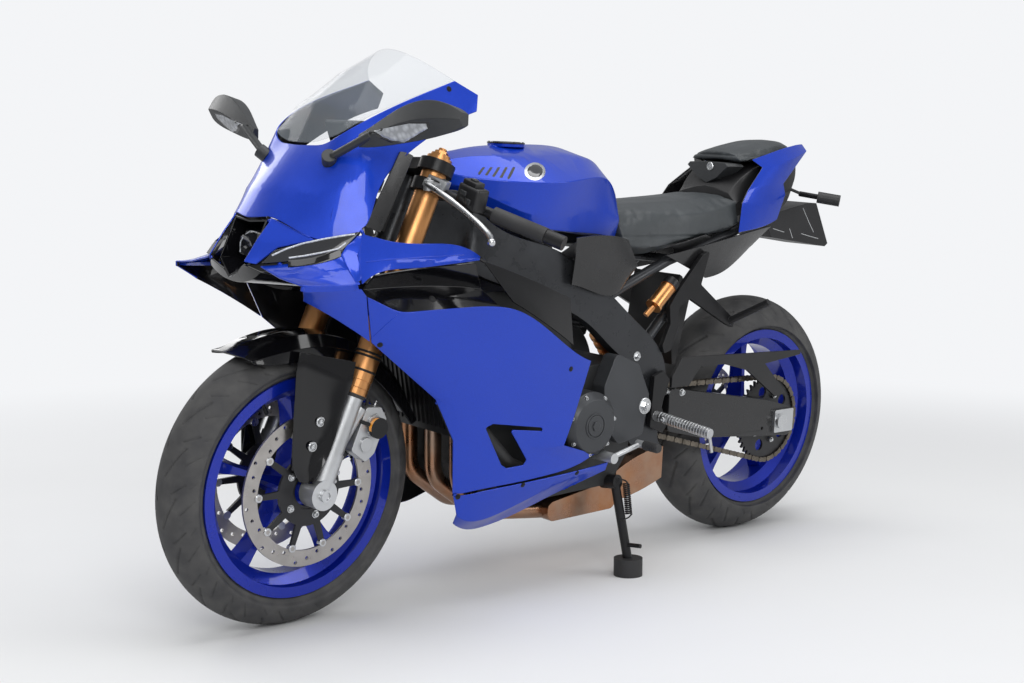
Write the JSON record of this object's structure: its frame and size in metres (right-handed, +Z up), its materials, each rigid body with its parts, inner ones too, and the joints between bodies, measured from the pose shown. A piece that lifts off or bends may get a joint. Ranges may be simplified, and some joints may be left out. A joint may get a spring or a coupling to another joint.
{
  "type": "sport motorcycle on its side stand",
  "caption": "Faired sport motorcycle leaning on its side stand, with steering, free wheels and a folding stand.",
  "frame": {"origin": "middle of the bounding box's underside, on the ground the motorcycle stands on", "axes": "+X forward along the bike's length, +Y to its left, +Z up; the bike leans 3.8 degrees towards +Y"},
  "size_m": [2.0346, 0.8958, 1.1957],
  "materials": {
    "amber_lens": "amber lens",
    "black_metal": "satin black",
    "blue_paint": "metallic blue gloss paint",
    "chain_steel": "bronze tinted steel",
    "clear_lens": "clear lens",
    "dark_grey": "satin dark grey",
    "disc_steel": "ground steel",
    "engine_grey": "matt dark grey castings",
    "exhaust": "heat tinted bronze steel",
    "fork_metal": "satin silver castings and polished tube",
    "gloss_black": "gloss black",
    "gold": "gold anodised",
    "matt_plastic": "grained dark grey plastic",
    "red_lens": "red lens",
    "rubber": "matt black rubber",
    "screen": "clear",
    "seat_cover": "dark grey grained vinyl",
    "tyre": "black rubber with road tread",
    "wheel_blue": "deep metallic blue paint"
  },
  "bodies": {
    "chassis": {"frame": "dark_grey", "seat_subframe": "dark_grey", "swingarm": "black_metal", "chassis_shafts": "fork_metal", "shock_absorber": "gold", "rear_caliper": "black_metal", "chain_guard": "matt_plastic", "chain": "chain_steel", "engine_block": "engine_grey", "engine_covers": "engine_grey", "exhaust_headers": "exhaust", "muffler": "exhaust", "radiator": "black_metal", "coolant_hose": "rubber", "tank": "blue_paint", "rider_seat": "seat_cover", "pillion_seat": "seat_cover", "lock_cover": "matt_plastic", "tail_core": "matt_plastic", "tail_cowls": "blue_paint", "side_covers": "matt_plastic", "rear_inner_fender": "matt_plastic", "plate_holder": "matt_plastic", "rear_lamps": "red_lens", "windscreen": "screen", "nose_cowl": "blue_paint", "cheek_cowls": "blue_paint", "side_panels": "blue_paint", "belly_pan": "blue_paint", "inner_panels": "gloss_black", "cowl_ducts": "matt_plastic", "intake_mask": "gloss_black", "front_lamps": "clear_lens", "dash": "matt_plastic", "fairing_stay": "black_metal", "mirrors": "matt_plastic", "rider_footrests": "fork_metal", "pillion_footrests": "black_metal", "foot_levers": "fork_metal", "stand_bracket": "black_metal"},
    "steering": {"fork_outer_tubes": "gold", "fork_lowers": "fork_metal", "fork_clamps": "black_metal", "clip_on_bars": "black_metal", "grips": "rubber", "controls": "black_metal", "front_axle": "fork_metal", "front_calipers": "fork_metal", "brake_hoses": "rubber", "reflectors": "amber_lens", "front_fender": "gloss_black"},
    "front_wheel": {"front_tyre": "tyre", "front_rim": "wheel_blue", "front_discs": "disc_steel"},
    "rear_wheel": {"rear_tyre": "tyre", "rear_rim": "wheel_blue", "rear_disc": "disc_steel", "rear_sprocket": "disc_steel"},
    "side_stand": {"side_stand": "black_metal", "stand_puck": "rubber"}
  },
  "joints": [
    {"name": "steering_turn", "type": "hinge", "parent": "chassis", "child": "steering", "pos_m": [0.48693, -0.01825, 0.7785], "axis": [-0.3843, 0.0609, 0.9212], "range_deg": [-30.98, 25.02]},
    {"name": "front_wheel_spin", "type": "hinge", "parent": "steering", "child": "front_wheel", "pos_m": [0.71766, -0.04843, 0.29923], "axis": [-0.048, 0.9952, -0.0858], "continuous": true},
    {"name": "rear_wheel_spin", "type": "hinge", "parent": "chassis", "child": "rear_wheel", "pos_m": [-0.70231, -0.04892, 0.31432], "axis": [0, 0.9978, -0.0659], "continuous": true},
    {"name": "side_stand_fold", "type": "hinge", "parent": "chassis", "child": "side_stand", "pos_m": [-0.08031, 0.11338, 0.22242], "axis": [-0.0986, 0.9929, 0.0659], "range_deg": [0, 80]}
  ]
}
